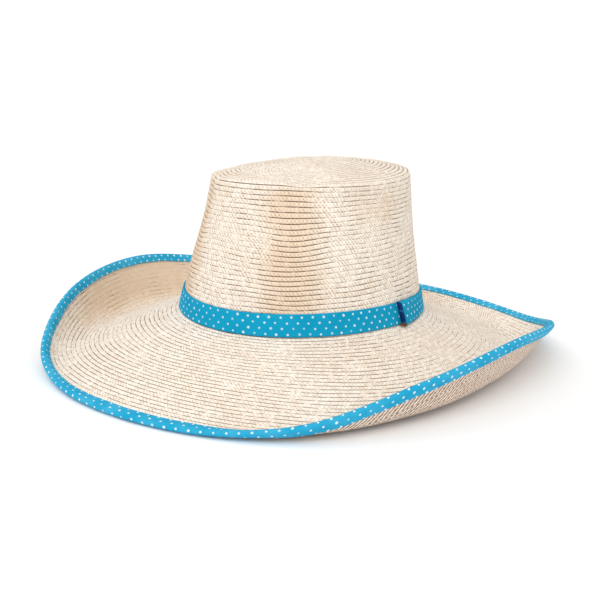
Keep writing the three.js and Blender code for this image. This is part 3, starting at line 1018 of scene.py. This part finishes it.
thread = plain_finish("blue_thread", (0.05, 0.4, 0.66, 1.0), 0.7)
dry_leaf = plain_finish("dry_leaf", (0.12, 0.06, 0.03, 1.0), 0.85)


# %% Groups of geometry nodes
def geometry_group(name, numbers):
    """A group that takes geometry and named numbers."""
    tree = bpy.data.node_groups.new(name, "GeometryNodeTree")
    tree.interface.new_socket("Geometry", in_out="INPUT", socket_type="NodeSocketGeometry")
    for number in numbers:
        tree.interface.new_socket(number, in_out="INPUT", socket_type="NodeSocketFloat")
    tree.interface.new_socket("Geometry", in_out="OUTPUT", socket_type="NodeSocketGeometry")
    return tree, tree.nodes.new("NodeGroupInput").outputs


def finish_group(tree, geometry, material):
    add = partial(add_node, tree)
    geometry = add("GeometryNodeRealizeInstances", {"Geometry": geometry})
    geometry = add("GeometryNodeSetShadeSmooth", {"Geometry": geometry})
    geometry = add("GeometryNodeSetMaterial", {"Geometry": geometry, "Material": material})
    put(tree, tree.nodes.new("NodeGroupOutput").inputs[0], geometry)


def stitch_group():
    tree, given = geometry_group("stitches_on_line", ("Spacing", "Length", "Radius"))
    add = partial(add_node, tree)
    line = add("GeometryNodeMeshToCurve", {"Mesh": given["Geometry"]})
    spacing = {"Curve": line, "Length": given["Spacing"]}
    line = add("GeometryNodeResampleCurve", spacing, mode="LENGTH")
    bead = add("GeometryNodeMeshUVSphere", {"Segments": 6, "Rings": 4, "Radius": 1.0})
    half_length = add("ShaderNodeMath", {0: given["Length"], 1: 0.5}, operation="MULTIPLY")
    size = add("ShaderNodeCombineXYZ", {0: given["Radius"], 1: given["Radius"], 2: half_length})
    bead = add("GeometryNodeTransform", {"Geometry": bead, "Scale": size})
    tangent = add("GeometryNodeInputTangent", {})
    turn = add("FunctionNodeAlignRotationToVector", {"Vector": tangent}, axis="Z")
    stretches = {"Min": (0.9, 0.9, 0.8), "Max": (1.1, 1.1, 1.1), "Seed": 4}
    stretch = add("FunctionNodeRandomValue", stretches, data_type="FLOAT_VECTOR")
    beads = {"Points": line, "Instance": bead, "Rotation": turn, "Scale": stretch}
    finish_group(tree, add("GeometryNodeInstanceOnPoints", beads), thread)
    return tree


def strand_group():
    tree, given = geometry_group("strands_on_lines", ("Radius",))
    add = partial(add_node, tree)
    lines = add("GeometryNodeMeshToCurve", {"Mesh": given["Geometry"]})
    along = add("GeometryNodeSplineParameter", {})
    taper = add("ShaderNodeMath", {0: along, 1: -0.6, 2: 1.0}, operation="MULTIPLY_ADD")
    lines = add("GeometryNodeSetCurveRadius", {"Curve": lines, "Radius": taper})
    ring = {"Resolution": 5, "Radius": given["Radius"]}
    ring = add("GeometryNodeCurvePrimitiveCircle", ring)
    strands = {"Curve": lines, "Profile Curve": ring, "Fill Caps": True}
    finish_group(tree, add("GeometryNodeCurveToMesh", strands), dry_leaf)
    return tree


def built_along(name, lines, group, numbers):
    """A piece that a group builds on lines of points of the upright hat, each closed or open."""
    carrier_mesh = bpy.data.meshes.new(name + "_lines")
    points, edges = [], []
    for line, closed in lines:
        first = len(points)
        points += to_row(line).tolist()
        edges += [(k, k + 1) for k in range(first, len(points) - 1)]
        edges += [(len(points) - 1, first)] if closed else []
    carrier_mesh.from_pydata(points, edges, [])
    carrier = add_object(name + "_lines", carrier_mesh)
    modifier = carrier.modifiers.new("build", "NODES")
    modifier.node_group = group
    for socket in group.interface.items_tree:
        if socket.name in numbers:
            modifier[socket.identifier] = numbers[socket.name] / 1000
    evaluated = carrier.evaluated_get(bpy.context.evaluated_depsgraph_get())
    mesh = bpy.data.meshes.new_from_object(evaluated)
    bpy.data.objects.remove(carrier)
    return add_piece(name, mesh)


# %% Stitches round the binding
STITCH_SPACING = 3.6
STITCH_LENGTH = 2.7
THREAD_RADIUS = 0.2
SEAM_BACK = 6.1

seam_angles = np.arange(CLOTH_SEGMENTS) / CLOTH_SEGMENTS * 2 * math.pi
seam_lines = binding_places(seam_angles, [(SEAM_BACK, 2.16), (SEAM_BACK, -2.1)])
stitches = built_along(
    "binding_stitches",
    [(seam_lines[:, 0], True), (seam_lines[:, 1], True)],
    stitch_group(),
    {"Spacing": STITCH_SPACING, "Length": STITCH_LENGTH, "Radius": THREAD_RADIUS},
)

# %% Frayed knot at the foot of the lap
STRANDS = 16
STRAND_POINTS = 7


def knot_strands():
    chance = np.random.default_rng(11)
    angle = math.radians(LAP_ANGLE) - 1.2 / (HEAD_LENGTH / 2)
    foot = wall_point(np.array(angle), np.array(band_foot(angle) + 0.9), 3.4)
    outwards = np.array([math.sin(angle), -math.cos(angle), 0.0])
    sideways = np.array([math.cos(angle), math.sin(angle), 0.0])
    share = np.linspace(0, 1, STRAND_POINTS)[:, None]
    strands = []
    for heading in np.linspace(-200, 20, STRANDS) + chance.uniform(-8, 8, STRANDS):
        turn = math.radians(heading)
        way = sideways * math.cos(turn) - outwards * math.sin(turn)
        length = chance.uniform(1.6, 3.6)
        lift = chance.uniform(0.0, 1.6)
        drop = (0.47 * max(-math.sin(turn), 0.0)) * length + 0.3
        upwards = np.array([0, 0, 1.0]) * (lift * share - (lift + drop) * share**2)
        strands.append((foot + way * length * share + upwards, False))
    return strands


knot = built_along("band_knot", knot_strands(), strand_group(), {"Radius": 0.35})

# %% Ride and replace
for piece, node, finish in (
    (crown, "crown", "straw"),
    (brim, "brim", "straw"),
    (hatband, "hatband", "cotton"),
    (band_lap, "band_lap", "cotton"),
    (binding, "brim_binding", "cotton"),
):
    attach(piece, "root")
    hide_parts(node)
    low, high = (np.array(corner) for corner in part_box(node))
    co = np.array([v.co for v in piece.data.vertices])
    past = [np.round(side * 1000, 2) for side in (low - co.min(0), co.max(0) - high)]
    print(piece.name, "past its solid by mm", *past)
for piece, finish in ((stitches, "cotton"), (knot, "straw")):
    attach(piece, "root")

# %% [markdown]
# ## Floor, light and camera
# The photograph is a bright product picture on white, so the floor and the surroundings are
# white. Four soft lamps share the light, because one alone would leave a hard dark side: one in
# front, one at the left and one at the right of the picture, and one overhead. The camera looks
# from the wearer's front left, a little above the brim.

# %% Floor and surroundings
def plain_floor(size):
    mesh = bpy.data.meshes.new("floor")
    half = size / 2
    corners = [(-half, -half, 0), (half, -half, 0), (half, half, 0), (-half, half, 0)]
    mesh.from_pydata(corners, [], [(0, 1, 2, 3)])
    material, _, shader = new_finish("pale_floor", 0.9)
    shader.inputs["Base Color"].default_value = (0.96, 0.97, 0.98, 1.0)
    mesh.materials.append(material)
    floor = add_object("floor", mesh)
    floor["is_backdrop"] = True


plain_floor(60.0)
world = bpy.data.worlds.new("studio")
world.use_nodes = True
surroundings = world.node_tree
background = surroundings.nodes["Background"]
background.inputs["Color"].default_value = (1.0, 0.93, 0.85, 1.0)
SURROUNDING_LIGHT = 0.36  # what lights the hat
SEEN_BRIGHTNESS = 1.35  # what the camera sees behind it, which is white in the picture
seen = surroundings.nodes.new("ShaderNodeLightPath").outputs["Is Camera Ray"]
strength = fade_between(surroundings, seen, 0.0, 1.0, SURROUNDING_LIGHT, SEEN_BRIGHTNESS)
put(surroundings, background.inputs["Strength"], strength)
bpy.context.scene.world = world
bpy.context.scene.view_settings.view_transform = "Standard"


# %% Lights
def soft_light(name, azimuth, elevation, spread, strength):
    """A wide soft light from one side. It reaches the whole floor evenly."""
    data = bpy.data.lights.new(name, "SUN")
    data.angle = math.radians(spread)
    data.energy = strength * math.pi
    light = add_object(name, data)
    turn, lift = math.radians(azimuth), math.radians(elevation)
    level = math.cos(lift)
    towards = Vector((math.sin(turn) * level, -math.cos(turn) * level, math.sin(lift)))
    light.rotation_mode = "QUATERNION"
    light.rotation_quaternion = towards.to_track_quat("Z", "Y")
    light.location = towards


# Name, azimuth from the front over the wearer's left, elevation, spread, strength
for lamp in (
    ("front", 20.0, 36.0, 60.0, 0.5),
    ("left", -75.0, 30.0, 60.0, 0.17),
    ("right", 115.0, 12.0, 60.0, 0.24),
    ("overhead", 0.0, 88.0, 90.0, 0.35),
):
    soft_light(*lamp)

# %% Camera
CAMERA_PLACE = (0.4549, -0.6666, 0.249)
CAMERA_AIM = (0.0001, 0.0003, 0.0823)
CAMERA_ROLL = 2.4
CAMERA_LENS = 66.4
CAMERA_SHIFT = (-0.0132, -0.0993)

camera_data = bpy.data.cameras.new("camera")
camera_data.lens = CAMERA_LENS
camera_data.sensor_width = 36.0
camera_data.shift_x, camera_data.shift_y = CAMERA_SHIFT
camera = add_object("camera", camera_data)
camera.location = CAMERA_PLACE
camera.rotation_mode = "QUATERNION"
aim = (Vector(CAMERA_AIM) - Vector(CAMERA_PLACE)).to_track_quat("-Z", "Y")
camera.rotation_quaternion = aim @ Quaternion((0, 0, 1), math.radians(CAMERA_ROLL))
bpy.context.scene.camera = camera

# %% Write the sizes down and finish
low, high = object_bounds()
grown = np.array([np.subtract(cad_low, low), np.subtract(high, cad_high)]) * 1000
print("box grew by mm", *np.round(grown, 2).tolist())
